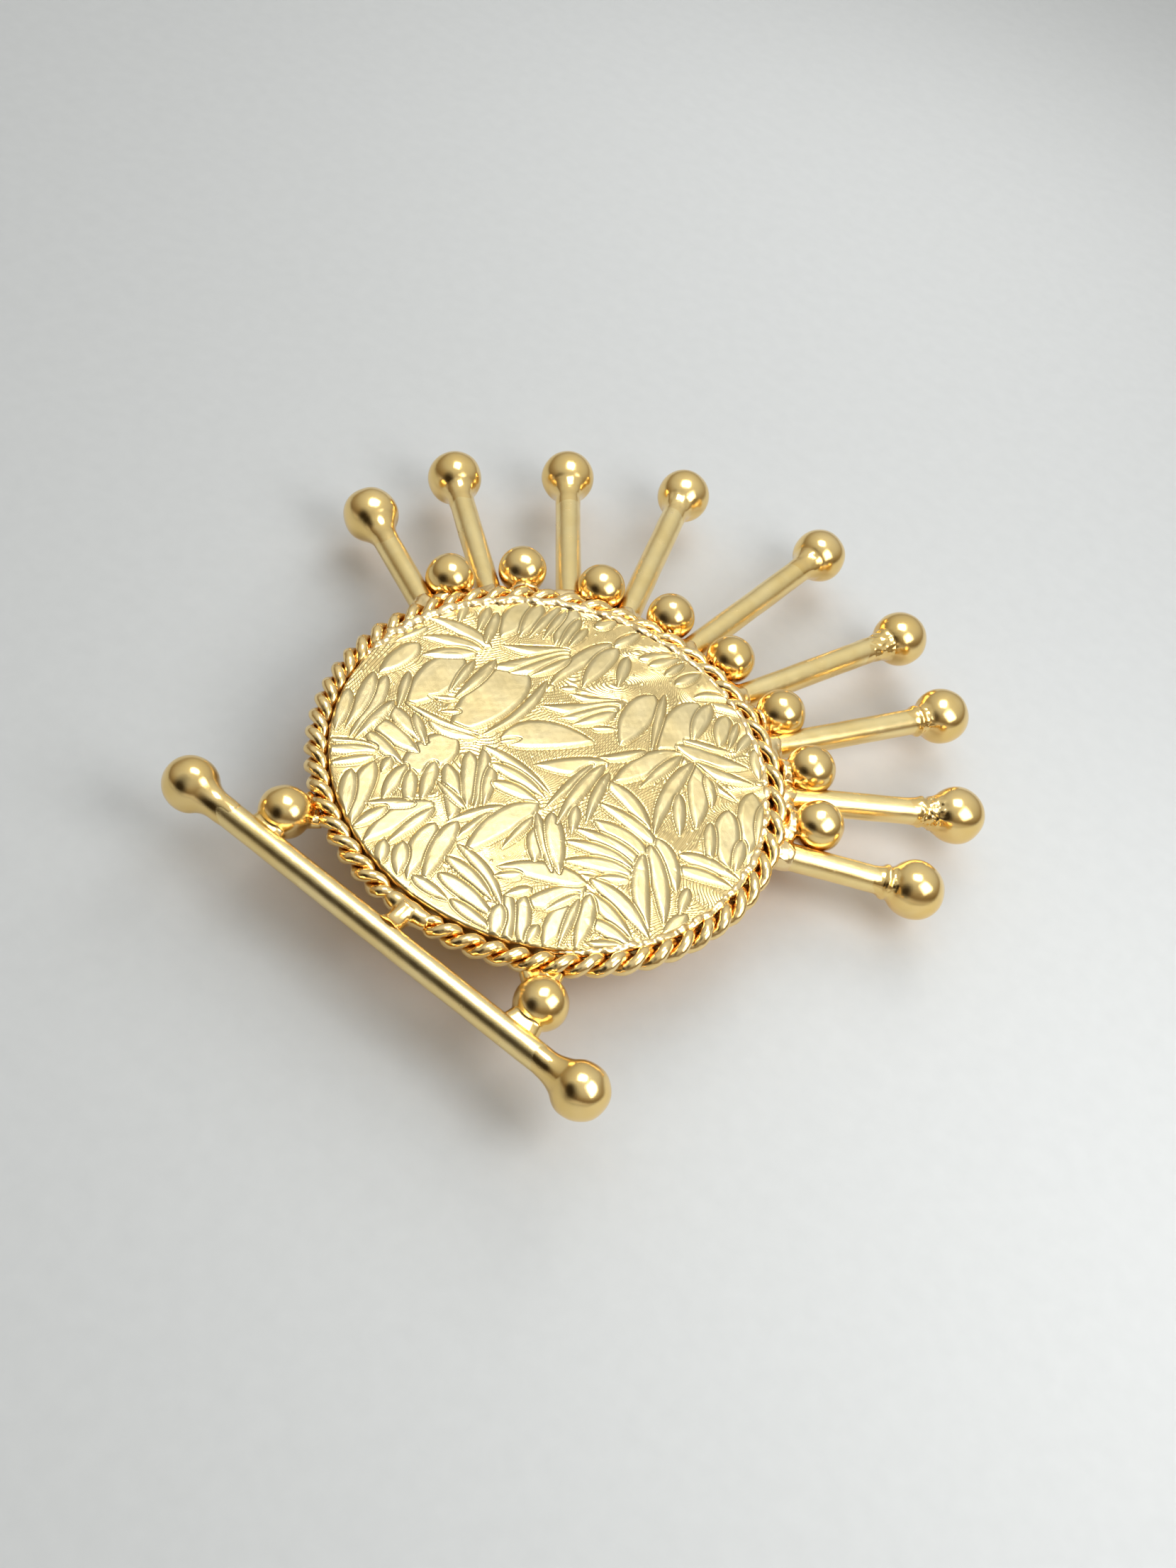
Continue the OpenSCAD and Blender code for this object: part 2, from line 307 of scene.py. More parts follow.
def paper():
    """Matt white paper with a faint fibre grain, and a painted warm reflection of the gold where the gold
    stands over it.
    """
    material = bpy.data.materials.new("paper")
    material.use_nodes = True
    tree = material.node_tree
    shader = tree.nodes["Principled BSDF"]
    shader.inputs["Roughness"].default_value = 0.9
    shader.inputs["Specular IOR Level"].default_value = 0.2
    coordinates = tree.nodes.new("ShaderNodeTexCoord")
    cloud = noise(tree, coordinates, 1.6, 5)
    colour = ramp(tree, [(0.3, (0.622, 0.637, 0.638)), (0.7, (0.642, 0.657, 0.658))])
    link(tree, cloud, "Fac", colour, "Fac")
    # Painted reflected light: the paper turns orange where the gold hems it in, standing in for light thrown
    # off the gold.
    shade = tree.nodes.new("ShaderNodeAmbientOcclusion")
    shade.inputs["Distance"].default_value = 9 * MM
    shade.samples = 8
    openness = ramp(tree, [(0.0, (0.0, 0.0, 0.0)), (0.3, (0.72, 0.72, 0.72)), (0.85, (1.0, 1.0, 1.0))])
    link(tree, shade, "AO", openness, "Fac")
    tint = tree.nodes.new("ShaderNodeMix")
    tint.data_type = "RGBA"
    tint.inputs["A"].default_value = (0.95, 0.58, 0.28, 1)
    link(tree, openness, "Color", tint, "Factor")
    tree.links.new(colour.outputs["Color"], tint.inputs["B"])
    tree.links.new(tint.outputs["Result"], shader.inputs["Base Color"])
    return material


FINISHES = {
    # The relief's gold is set darker than the other gold finishes: painted shade over the whole face.
    "relief": gold("relief_satin", (0.61, 0.505, 0.275), (0.58, 0.46, 0.22), (0.58, 0.43, 0.18),
                   0.33, 0.07, 0.008),
    "satin": gold("wire_satin", (0.97, 0.77, 0.38), (0.92, 0.69, 0.29), (0.62, 0.36, 0.10),
                  0.24, 0.07, 0.010, 0.6),
    "rope": gold("rope_bright", (0.94, 0.71, 0.34), (0.90, 0.63, 0.25), (0.60, 0.32, 0.09),
                 0.19, 0.07, 0.003, 0.6),
    "polished": gold("ball_polish", (0.92, 0.68, 0.30), (0.85, 0.59, 0.21), (0.60, 0.34, 0.10),
                     0.17, 0.07, 0.005, 0.8),
    "rough": gold("solder_rough", (0.95, 0.76, 0.42), (0.88, 0.62, 0.27), (0.60, 0.34, 0.10),
                  0.22, 0.16, 0.010, 0.6),
    "finding": gold("finding_satin", (0.90, 0.68, 0.32), (0.84, 0.60, 0.24), (0.56, 0.28, 0.07),
                    0.22, 0.08, 0.003, 0.6),
}


# ---------------------------------------------------------------- pieces

def new_piece(name, points, faces, finish, replaces=(), body="brooch", smooth=True):
    """A piece from points in row millimetres, riding on a body and standing for its CAD nodes."""
    mesh = bpy.data.meshes.new(name)
    corners = faces if isinstance(faces, list) else faces.tolist()
    mesh.from_pydata((points * MM).tolist(), [], corners)
    mesh.polygons.foreach_set("use_smooth", np.full(len(mesh.polygons), smooth))
    mesh.materials.append(FINISHES[finish])
    mesh.update()
    piece = bpy.data.objects.new(name, mesh)
    bpy.context.scene.collection.objects.link(piece)
    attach(piece, body)
    if replaces:
        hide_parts(*replaces)
    return piece


def fused(shapes, voxel, rounds):
    """Points and quads of one smooth skin round several overlapping closed shapes."""
    points = []
    faces = []
    for shape_points, shape_faces in shapes:
        faces.extend((np.asarray(shape_faces) + sum(len(p) for p in points)).tolist())
        points.append(shape_points)
    mesh = bpy.data.meshes.new("fusing")
    mesh.from_pydata(np.concatenate(points).tolist(), [], faces)
    lump = bpy.data.objects.new("fusing", mesh)
    bpy.context.scene.collection.objects.link(lump)
    skin = lump.modifiers.new("skin", "REMESH")
    skin.mode = "VOXEL"
    skin.voxel_size = voxel
    soften = lump.modifiers.new("soften", "SMOOTH")
    soften.factor = 0.5
    soften.iterations = rounds
    made = lump.evaluated_get(bpy.context.evaluated_depsgraph_get()).to_mesh()
    coordinates = np.zeros(len(made.vertices) * 3)
    made.vertices.foreach_get("co", coordinates)
    quads = np.array([list(p.vertices) for p in made.polygons if len(p.vertices) == 4])
    bpy.data.objects.remove(lump)
    bpy.data.meshes.remove(mesh)
    return coordinates.reshape(-1, 3), quads


# Leaves stamped in the face: two ends, greatest width and bend to the right of its run, in disc millimetres.
# A later leaf lies over an earlier one.
LEAVES = (
    # upper left
    (-7.4, 5.4, -7.3, -3.0, 3.3, 0), (-11.7, 2.8, -11.4, -3.6, 2.6, 0), (-14.9, 1.4, -15.0, -2.8, 1.5, 0),
    (-3.9, -0.9, 0.9, 3.7, 2.4, -0.08), (-11.7, 11.6, -10.9, 7.4, 1.9, 0), (-10.8, 12.4, -9.9, 8.6, 1.2, 0),
    (-8.4, 14.1, -7.4, 10.1, 1.5, 0), (-9.7, 13.4, -9.3, 9.2, 0.8, 0), (-9.0, 13.5, -8.4, 9.8, 0.7, 0),
    (-7.6, 13.6, -6.9, 10.0, 0.8, 0), (-6.6, 13.2, -6.4, 10.7, 0.7, 0), (-4.2, 13.1, -4.8, 6.2, 1.2, 0.05),
    (-3.5, 13.2, -3.0, 8.2, 1.4, 0.03), (-2.3, 13.2, -1.1, 10.3, 0.9, 0), (-1.5, 14.0, 0.1, 16.5, 0.9, 0),
    (-0.5, 14.0, 0.7, 16.4, 0.9, 0), (-3.8, 13.6, -3.2, 16.4, 0.9, 0), (-6.2, 14.0, -5.4, 16.0, 1.0, 0),
    (-6.3, 10.1, -10.2, 6.6, 1.0, -0.06), (-6.2, 9.8, -9.5, 4.2, 1.4, -0.08),
    (-5.9, 9.6, -7.9, 4.9, 1.2, -0.06), (-5.6, 9.4, -6.6, 5.8, 0.8, -0.04),
    (0.3, 9.1, -3.4, 6.6, 0.9, -0.08), (0.2, 8.8, -4.0, 4.0, 1.3, -0.08), (0.2, 8.2, -2.2, 4.1, 1.2, -0.06),
    (0.4, 7.6, -1.1, 4.3, 1.0, -0.04), (-3.2, 7.4, -4.1, 6.4, 0.6, 0), (-4.6, 6.2, -5.4, 5.0, 0.6, 0),
    (-11.0, 5.6, -16.1, 4.3, 1.2, 0.08), (-11.2, 4.8, -15.1, 2.4, 1.1, 0.06),
    (-11.2, 4.1, -13.8, 1.0, 1.1, 0.04), (-12.7, 8.9, -11.3, 5.8, 0.9, 0), (-13.6, 9.0, -12.6, 6.4, 0.8, 0),
    (-15.3, 8.0, -14.3, 6.0, 0.8, 0), (-5.4, 5.8, -5.6, -2.0, 0.8, -0.08),
    (-9.6, 4.6, -9.3, -0.6, 0.9, -0.03), (-10.7, 3.4, -10.0, -0.2, 0.7, 0),
    (-4.0, -1.5, -3.1, -0.1, 0.5, 0), (-15.6, 3.4, -16.3, 0.6, 0.7, 0),
    # upper right
    (1.7, 11.2, 2.7, 5.6, 2.1, 0.03), (4.7, 13.2, 5.4, 7.2, 2.4, 0), (13.2, 8.9, 15.9, 4.3, 1.8, 0),
    (12.8, 6.0, 15.6, 1.5, 1.7, 0), (2.3, 12.0, 4.8, 6.8, 0.7, 0), (4.2, 14.0, 6.5, 15.9, 0.8, -0.12),
    (5.4, 14.0, 8.1, 15.2, 0.9, -0.12), (5.5, 14.1, 6.6, 10.2, 1.2, 0.03), (7.1, 14.1, 8.4, 11.2, 1.3, 0),
    (8.2, 14.2, 9.1, 11.6, 0.6, 0), (9.6, 14.1, 9.8, 11.8, 0.8, 0), (1.0, 14.2, 1.3, 16.4, 0.7, 0),
    (2.2, 14.0, 2.9, 16.4, 0.9, 0), (6.2, 9.6, 9.2, 11.3, 0.9, 0.06), (6.2, 8.7, 11.1, 10.9, 1.4, 0.05),
    (8.2, 8.4, 12.4, 9.9, 1.0, 0.06), (6.6, 8.0, 12.3, 7.6, 0.9, 0.04), (6.6, 7.9, 4.7, 2.0, 1.8, 0.04),
    (6.8, 7.8, 6.4, 3.2, 0.9, 0), (8.4, 7.8, 11.6, 3.2, 1.5, -0.04), (8.0, 7.8, 9.8, 0.3, 1.1, 0.06),
    (9.5, 7.7, 11.4, 5.7, 0.8, -0.06), (9.0, 4.6, 11.2, 1.6, 0.9, 0), (12.4, 4.1, 14.4, 1.1, 0.9, 0),
    (15.1, 4.6, 16.2, 1.9, 0.9, 0), (12.5, 0.0, 16.8, 1.3, 1.1, -0.06), (13.0, -1.3, 16.9, 0.3, 1.1, -0.06),
    (4.2, 1.4, 9.6, -0.3, 1.2, -0.10), (4.4, 6.1, 2.1, 2.7, 0.8, -0.05), (3.0, 2.9, -0.6, -1.1, 1.5, -0.04),
    (0.2, 5.0, 1.6, 6.4, 0.6, 0), (14.4, 8.6, 16.0, 5.4, 0.8, 0), (10.8, 13.0, 12.6, 10.8, 1.0, 0),
    # lower left
    (-6.7, -4.0, -7.3, -9.2, 2.5, 0), (-11.9, -6.9, -7.9, -6.9, 1.5, 0),
    (-12.1, -4.9, -8.0, -5.6, 1.2, 0.04), (-11.6, -8.2, -8.0, -8.6, 1.1, 0),
    (-13.4, -1.4, -11.7, -4.6, 0.7, 0), (-14.3, -3.2, -12.4, -9.2, 1.2, -0.03),
    (-12.3, -4.6, -11.9, -9.3, 0.9, 0), (-15.2, -3.6, -13.2, -8.8, 1.1, -0.03),
    (-15.4, -6.2, -13.6, -9.6, 1.1, 0), (-9.0, -3.9, -5.5, -2.5, 1.1, 0.05),
    (-11.4, -3.7, -5.5, -1.9, 0.6, 0.06), (-10.3, -4.2, -7.9, -5.9, 0.8, 0),
    (-10.3, -8.9, -13.3, -10.9, 0.8, 0), (-10.1, -9.2, -13.1, -12.3, 1.0, 0.03),
    (-9.8, -9.7, -11.7, -12.7, 0.8, 0), (-9.3, -10.3, -6.8, -15.5, 1.4, 0.03),
    (-10.0, -12.0, -7.6, -15.5, 1.1, 0), (-8.8, -8.8, -8.4, -10.3, 0.8, 0),
    (-7.5, -8.6, -6.6, -12.2, 1.0, 0.04), (-6.9, -8.7, -5.0, -11.3, 1.0, 0),
    (-6.2, -6.8, -4.6, -10.2, 1.0, 0), (-5.3, -6.4, -1.8, -10.2, 1.3, -0.06),
    (-4.9, -4.2, -2.0, -8.3, 1.3, -0.05), (-4.4, -2.9, -1.4, -7.9, 0.9, -0.03),
    (-2.9, -3.8, -1.1, -7.1, 0.9, 0), (-4.4, -2.8, 1.5, -2.7, 0.9, -0.06),
    (-3.0, -3.7, 1.6, -3.3, 1.0, -0.07), (-1.8, -5.0, 1.8, -4.1, 1.1, -0.07),
    (0.1, -6.3, -1.9, -10.3, 0.8, 0.03), (-0.2, -7.4, -0.6, -11.2, 0.8, 0),
    (-3.9, -10.1, -5.0, -15.9, 1.7, 0.06), (-3.5, -10.3, -3.8, -15.2, 0.9, 0),
    (-4.8, -10.9, -7.2, -13.3, 0.9, 0), (-6.0, -12.6, -6.5, -15.6, 0.9, 0),
    (-2.4, -11.4, -0.8, -16.1, 1.5, 0.04), (-1.4, -10.1, 0.2, -15.5, 1.3, 0.03),
    (-3.0, -14.2, -1.5, -16.5, 1.1, 0), (-4.1, -15.0, -3.0, -16.8, 0.9, 0),
    (-9.1, -0.6, -10.7, -2.0, 0.5, 0), (-8.1, -1.4, -9.2, -2.6, 0.5, 0), (-2.0, -8.4, -4.9, -8.0, 0.7, 0),
    # lower right
    (10.4, -2.1, 5.9, -2.2, 1.7, 0.04), (1.7, -4.5, 0.8, -11.3, 1.8, 0.05),
    (8.8, -7.8, 6.5, -12.0, 1.6, -0.05), (8.5, -7.5, 3.5, -10.7, 1.6, 0.06),
    (9.0, -10.0, 9.8, -13.7, 1.5, 0), (3.2, -5.9, 4.8, -8.4, 1.3, 0), (10.3, -0.6, 5.0, -0.7, 1.1, 0.06),
    (10.9, -3.1, 5.2, -4.0, 1.2, 0.08), (10.6, -3.9, 5.3, -5.6, 1.1, 0.10),
    (10.7, -4.3, 6.5, -6.9, 1.2, 0.08), (10.9, -4.8, 9.0, -6.6, 0.8, 0.06),
    (10.4, -0.2, 13.9, -2.9, 1.3, -0.06), (10.4, -1.2, 14.9, -5.9, 1.2, -0.04),
    (10.5, -2.3, 14.7, -7.5, 1.2, 0.05), (9.1, -6.8, 14.8, -7.9, 1.2, -0.08),
    (9.5, -8.0, 13.8, -8.7, 1.1, -0.04), (10.9, -9.8, 14.6, -9.5, 1.1, -0.06),
    (15.8, -4.2, 15.6, -6.8, 1.0, 0), (9.7, -8.1, 11.6, -12.3, 1.2, -0.03), (9.0, -8.5, 8.1, -11.3, 0.7, 0),
    (9.3, -9.0, 10.6, -13.0, 0.7, 0), (2.3, -5.5, 2.4, -9.1, 0.7, 0), (2.4, -5.0, 6.2, -8.2, 0.8, 0),
    (3.2, -4.2, 6.7, -7.9, 1.3, 0), (2.4, 1.8, 2.4, -3.8, 0.8, 0), (3.1, 2.4, 3.9, -4.2, 1.0, 0.03),
    (3.9, 2.1, 5.4, -2.6, 0.8, 0.03), (4.0, -2.2, 5.2, -4.3, 0.8, 0), (6.3, -11.6, 8.6, -14.9, 1.1, 0),
    (5.3, -12.2, 7.9, -15.6, 1.0, 0), (0.2, -11.5, 5.5, -13.4, 0.9, -0.09),
    (0.2, -12.9, 4.6, -13.4, 1.0, -0.06), (0.8, -14.4, 5.5, -14.5, 1.2, -0.04),
    (2.8, -15.5, 6.4, -15.4, 0.9, 0), (-0.5, -15.9, 2.4, -15.7, 0.9, 0), (5.5, -13.4, 6.9, -15.9, 1.1, 0),
    (4.9, -10.1, 3.6, -11.6, 0.8, 0), (6.2, -10.6, 5.2, -12.3, 0.8, 0), (8.5, -12.8, 8.9, -14.6, 0.8, 0),
    (14.6, -2.2, 15.4, -4.4, 0.8, 0), (14.0, -9.9, 12.0, -11.4, 0.9, 0),
)
# How far each leaf is widened, and lengthened at both ends, as a share of its size
LEAF_SPREAD = 1.24
LEAF_STRETCH = 0.07
# Height of a leaf, breadth of its rounded shoulder, and the outline and ribs round its edge, in millimetres
LEAF_HEIGHT = 0.14
LEAF_SHOULDER = 0.50
OUTLINE_DEPTH = 0.030
RIB_HEIGHT = 0.010
RIB_PITCH = 0.22
# Depth and pitch of the fine hatching between the leaves, and the pitch of its breaks
GROUND_DEPTH = 0.034
HATCH_PITCH = 0.26
HATCH_BREAK = 0.42


def stamp_leaf(x, y, height, cover, leaf):
    """Presses one leaf into the face's heights: a blade with rounded shoulders, a fine outline and ribs."""
    x0, y0, x1, y1, width, bend = leaf
    width = width * LEAF_SPREAD
    dx, dy = LEAF_STRETCH * (x1 - x0), LEAF_STRETCH * (y1 - y0)
    x0, y0, x1, y1 = x0 - dx, y0 - dy, x1 + dx, y1 + dy
    length = math.hypot(x1 - x0, y1 - y0)
    along_x, along_y = (x1 - x0) / length, (y1 - y0) / length
    near = np.hypot(x - (x0 + x1) / 2, y - (y0 + y1) / 2) < length / 2 + 0.6
    px, py = x[near] - x0, y[near] - y0
    s = (px * along_x + py * along_y) / length
    inside = np.clip(s, 0, 1)
    side = px * along_y - py * along_x - bend * length * 4 * inside * (1 - inside)
    outline = (1 - np.abs(2 * inside ** 0.75 - 1) ** 2.1) ** 0.8
    edge = width / 2 * outline - np.abs(side)
    edge[(s < 0) | (s > 1)] = -1
    shoulder = min(LEAF_SHOULDER, width / 2)
    rise = np.sin(np.clip(edge / shoulder, 0, 1) * math.pi / 2)
    blade = LEAF_HEIGHT * (0.55 + 0.45 * shoulder / LEAF_SHOULDER) * rise
    ribs = RIB_HEIGHT * np.sin(2 * math.pi * s * length / RIB_PITCH) * np.exp(-((edge - 0.08) / 0.07) ** 2)
    groove = -OUTLINE_DEPTH * np.exp(-((edge + 0.04) / 0.06) ** 2)
    on_leaf = np.clip(edge / 0.05 + 0.5, 0, 1)
    height[near] = height[near] * (1 - on_leaf * 0.9) + on_leaf * (blade + ribs) + groove * (edge > -0.4)
    cover[near] = np.maximum(cover[near], on_leaf)


def face_heights(x, y):
    """Height of the stamped pattern over the face, and a mark for tarnish and painted shade, from 0 in a
    groove to 1 on a leaf.
    """
    height = np.zeros_like(x)
    cover = np.zeros_like(x)
    for leaf in LEAVES:
        stamp_leaf(x, y, height, cover, leaf)
    flat = np.stack([x, y, np.zeros_like(x)], axis=-1)
    lean = 0.3 * ripple(flat, 7, 31)
    hatch = np.sin((x * np.cos(lean) + y * np.sin(lean)) * 2 * math.pi / HATCH_PITCH)
    hatch *= 0.7 + 0.3 * np.sin((y * np.cos(lean) - x * np.sin(lean)) * 2 * math.pi / HATCH_BREAK)
    specks = np.clip(ripple(flat, 0.5, 32) - 1.2, 0, 0.8)
    height += (GROUND_DEPTH * hatch + 0.05 * specks) * (1 - cover)
    height += 0.002 * ripple(flat, 0.6, 35)
    # The mark goes from 0 in a groove to 1 on a leaf, and the gold darkens towards its groove colour where it
    # is low: tarnish and painted shade.
    clear_of_tarnish_and_shade = np.clip(height / LEAF_HEIGHT * 0.9 + 0.3, 0, 1)
    height += 0.007 * ripple(flat, 4.5, 33)
    return height, clear_of_tarnish_and_shade


def make_face():
    """The stamped face: a fine grid rounded into a disc, with a soft edge, a side wall and a back."""
    cells = 640
    side = np.linspace(-1, 1, cells + 1)
    u, v = np.meshgrid(side, side)
    x = (PLATE_R * u * np.sqrt(1 - v * v / 2)).ravel()
    y = (PLATE_R * v * np.sqrt(1 - u * u / 2)).ravel()
    height, clear_of_tarnish_and_shade = face_heights(x, y)
    edge_r = 0.25
    over = np.clip(np.hypot(x, y) - (PLATE_R - edge_r), 0, edge_r)
    height *= 1 - 0.8 * over / edge_r
    z = PLATE_TOP + height - (edge_r - np.sqrt(edge_r ** 2 - over ** 2))
    top = np.stack([x, y, z], axis=-1)
    top_quads = grid_quads(cells + 1, cells + 1, closed=False)

    index = np.arange((cells + 1) ** 2).reshape(cells + 1, cells + 1)
    rim = np.concatenate([index[0, :-1], index[:-1, -1], index[-1, :0:-1], index[:0:-1, 0]])
    levels = np.linspace(0, 1, 8)[1:]
    points = [top]
    quads = [top_quads]
    above = rim
    count = len(top)
    for level in levels:
        ring = top[rim].copy()
        ring[:, 2] = ring[:, 2] * (1 - level) + PLATE_BOTTOM * level
        ring[:, :2] *= 1 - 0.0012 * math.sin(level * math.pi) + 0.0006 * ripple(ring, 1.2, 34)[:, None]
        below = np.arange(count, count + len(rim))
        quads.append(np.stack([above, below, np.roll(below, -1), np.roll(above, -1)], axis=-1))
        points.append(ring)
        above = below
        count += len(rim)
    centre = np.array([[0, 0, PLATE_BOTTOM]])
    points.append(centre)
    faces = np.concatenate(quads).tolist()
    faces += [[int(a), count, int(b)] for a, b in zip(above, np.roll(above, -1))]
    points = np.concatenate(points) + DISC
    piece = new_piece("leaf_face", points, faces, "relief", ["face_plate"])
    # The mark is stored on the face for its tarnish and painted shade in the low places.
    marks = piece.data.attributes.new("clear_of_tarnish_and_shade", "FLOAT", "POINT")
    below = np.zeros(len(piece.data.vertices) - len(clear_of_tarnish_and_shade))
    marks.data.foreach_set("value", np.concatenate([clear_of_tarnish_and_shade, below]))


def make_back():
    """The back plate, with a rolled edge and the slight waves of hand-finished sheet."""
    edge_r = 0.42
    flat_r = BACK_R - edge_r
    thick = PLATE_BOTTOM - BACK_BOTTOM
    rows = [(BACK_BOTTOM, r) for r in np.linspace(0.4, flat_r, 60)]
    turn = np.linspace(-math.pi / 2, math.pi / 2, 14)[1:]
    rows += [(BACK_BOTTOM + thick / 2 + thick / 2 * math.sin(a), flat_r + edge_r * math.cos(a)) for a in turn]
    rows += [(PLATE_BOTTOM, r) for r in np.linspace(flat_r - 0.3, 15.5, 6)]
    points, quads = lathe(rows, 400)
    moved = 0.025 * ripple(points, 3.6, 41) + 0.035 * ripple(points, 11, 42)
    moved *= np.clip((points[:, 2] < PLATE_BOTTOM - 0.1) * 1.0, 0.2, 1)
    points[:, 2] += moved
    new_piece("back_disc", points + DISC, quads, "satin", ["back_plate"])


def make_rope():
    """Two twisted wires round the face, which run into a smooth solder joint at the bar."""
    start, finish = JOINT_TO + 1.0, 360 + JOINT_FROM - 1.0
    steps = 1900
    sides = 22
    angle = np.linspace(start, finish, steps)
    slip = 280 * np.sin(np.radians(angle - 245)) + 12 * np.sin(np.radians(angle * 5))
    turn = np.arange(sides) * 2 * math.pi / sides
    for name, phase in (("a", 0), ("b", 180)):
        twist = np.radians(ROPE_TURNS * angle + phase + slip)
        sunk = np.clip(np.minimum(angle - start, finish - angle) / 3.2, 0, 1) ** 0.7
        offset = STRAND_OFFSET * (0.3 + 0.7 * sunk)
        centres = around(angle, ROPE_RING_R + offset * np.cos(twist), offset * np.sin(twist))
        ahead = np.gradient(centres, axis=0)
        ahead /= np.linalg.norm(ahead, axis=1)[:, None]
        out = around(angle, np.cos(twist), np.sin(twist))
        across = np.cross(ahead, out)
        across /= np.linalg.norm(across, axis=1)[:, None]
        ring = out[:, None, :] * np.cos(turn)[:, None] + across[:, None, :] * np.sin(turn)[:, None]
        radius = STRAND_R * (0.6 + 0.4 * sunk) * (1 + 0.05 * ripple(centres, 2.2, 51 + phase))
        points = (centres[:, None, :] + ring * radius[:, None, None]).reshape(-1, 3)
        quads = grid_quads(steps, sides)
        points = uneven(points, quads, 0.012, 0.5, 52)
        caps = [list(range(sides))[::-1], list(range(len(points) - sides, len(points)))]
        new_piece(f"rope_wire_{name}", points + DISC, quads.tolist() + caps, "rope",
                  [f"rope_strand_{name}"])


def make_rope_joint():
    """The lump of solder at the rope's ends, and its bridge to the bar."""
    overrun = 3.0
    angle = np.linspace(JOINT_FROM - overrun, JOINT_TO + overrun, 40)
    middle = (JOINT_FROM + JOINT_TO) / 2
    shape = np.clip(1 - ((angle - middle) / (angle[-1] - middle)) ** 2, 0, 1) ** 0.4
    lump = sweep(around(angle, ROPE_RING_R, 0.0), ROPE_R * (0.50 + 0.44 * shape), 24)
    top = np.array([JOINT_BRIDGE_X, -ROPE_RING_R - 0.1, 0.0])
    foot = np.array([JOINT_BRIDGE_X, BAR_Y + 0.6, 0.0])
    lean = np.linspace(0, 1, 16)
    width = 0.80 + 0.5 * lean ** 6 + 0.25 * (1 - lean) ** 4
    bridge = sweep(top + np.outer(lean, foot - top), width, 24)
    points, quads = fused([lump, bridge], 0.08, 10)
    points = uneven(points, quads, 0.03, 1.4, 61)
    new_piece("rope_solder", points + DISC, quads, "rope", ["rope_joint"])


def make_inner_solder():
    """Solder that has run between the rope and the face, thick at the upper left and on the right."""
    first, last = -54, 192
    angle = np.linspace(first, last, 900)
    flat = around(angle, ROPE_RING_R, 0.0)
    fade = np.clip(np.minimum(angle - first, last - angle) / 14, 0, 1)
    rich = np.clip(1 - np.abs(angle - 140) / 62, 0, 1) ** 0.5
    reach = 17.12 - 0.12 * rich + 0.08 * ripple(flat, 1.6, 71)
    lift = (0.14 + 0.22 * fade + 0.14 * rich) + 0.07 * ripple(flat, 1.1, 72)
    radii = 0.12 + fade * (0.28 + 0.12 * rich + 0.06 * ripple(flat, 0.9, 73))
    shapes = [sweep(around(angle, reach, lift), radii, 18)]
    rng = np.random.default_rng(75)
    lump_points, lump_quads = ball(1.0, 10, 14)
    for _ in range(46):
        at = rng.uniform(96, 186)
        size = rng.uniform(0.22, 0.50)
        place = around(at, rng.uniform(16.5, 17.5), PLATE_TOP + rng.uniform(-0.30, -0.05) - 0.3 * size)
        stretch = np.array([rng.uniform(0.8, 1.5), rng.uniform(0.8, 1.5), 0.6])
        shapes.append((lump_points * size * stretch + place, lump_quads))
    points, quads = fused(shapes, 0.09, 3)
    points = uneven(points, quads, 0.015, 0.6, 74)
    new_piece("face_solder", points + DISC, quads, "rough")


def ray_line(number):
    """Start at the disc and ball centre of a ray, in disc coordinates, from the frame."""
    low, high = box_mm(f"ray_ball_{number}")
    middle = (low + high) / 2
    tip = np.array([
        high[0] - RAY_BALL_R if middle[0] > DISC[0] else low[0] + RAY_BALL_R,
        high[1] - RAY_BALL_R,
        low[2] + RAY_BALL_R,
    ]) - DISC
    root = around(RAY_ROOT_ANGLES[number - 1], RAY_ROOT_REACH, -RAY_ROOT_DROP)
    return root, tip


def make_ray(number):
    """A ray's round wire with its rounded inner end, and its ball on a flared neck of solder."""
    root, tip = ray_line(number)
    along = (tip - root) / np.linalg.norm(tip - root)
    start = root - RAY_TUCK * along
    length = np.linalg.norm(tip - start)
    end_r = 0.45
    rows = [(end_r * (1 - math.cos(a)), RAY_WIRE_R - end_r + end_r * math.sin(a))
            for a in np.linspace(0.05, math.pi / 2, 8)]
    rows += [(z, RAY_WIRE_R) for z in np.linspace(end_r + 0.2, length - 1.2, 90)]
    points, quads = lathe(rows, 48)
    points = aimed(points, start, tip)
    points = uneven(points, quads, 0.010, 3.5, 80 + number)
    points = uneven(points, quads, 0.002, 0.8, 90 + number)
    new_piece(f"ray_rod_{number}", points + DISC, quads, "satin", [f"ray_wire_{number}"])

    reach = 0.72 * RAY_BALL_R + 0.85 * RAY_NECK_LENGTHS[number - 1]
    collar = RAY_COLLARS.get(number, 0.0)
    profile = necked_profile(RAY_BALL_R, reach, RAY_NECK_RADII[number - 1], RAY_WIRE_R + 0.03, collar)
    points, quads = lathe(profile, 96)
    points = aimed(points, tip, root)
    down_neck = (tip - points) @ along
    on_neck = np.clip((down_neck - 0.62 * RAY_BALL_R) / 0.5, 0, 1)
    on_neck *= np.clip((reach - down_neck) / 0.4, 0.1, 1)
    points = uneven(points, quads, 0.026, 2.6, 100 + number)
    rough = RAY_NECK_ROUGHNESS[number - 1] * ripple(points, 0.7, 110 + number) * on_neck
    rough += 0.3 * RAY_NECK_ROUGHNESS[number - 1] * ripple(points, 0.3, 115 + number) * on_neck
    points = points + normals(points, quads) * rough[:, None]
    new_piece(f"ray_knob_{number}", points + DISC, quads, "polished", [f"ray_ball_{number}"])


